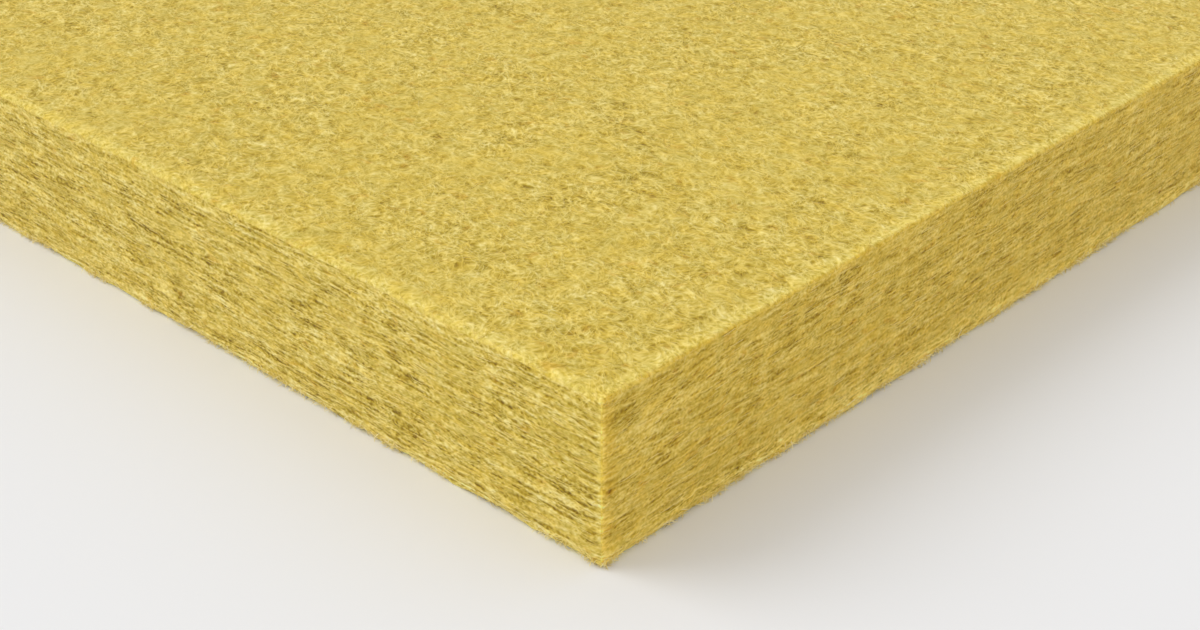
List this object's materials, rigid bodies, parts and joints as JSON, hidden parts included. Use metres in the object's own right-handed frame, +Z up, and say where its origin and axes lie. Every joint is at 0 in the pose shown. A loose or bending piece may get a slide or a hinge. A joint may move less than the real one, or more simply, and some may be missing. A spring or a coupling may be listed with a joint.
{
  "type": "glass wool board",
  "caption": "Flat rigid slab of bonded yellow glass fibre with square-cut edges, used as thermal and acoustic insulation in walls, roofs and ceilings.",
  "frame": {"origin": "centre of the under face, where the board lies on the floor", "axes": "+X along the length, +Y across the width, +Z up through the thickness"},
  "size_m": [1.2, 0.6, 0.05],
  "materials": {
    "glass_wool": "matte"
  },
  "bodies": {
    "root": {"glass_wool_board": "glass_wool"}
  },
  "joints": []
}
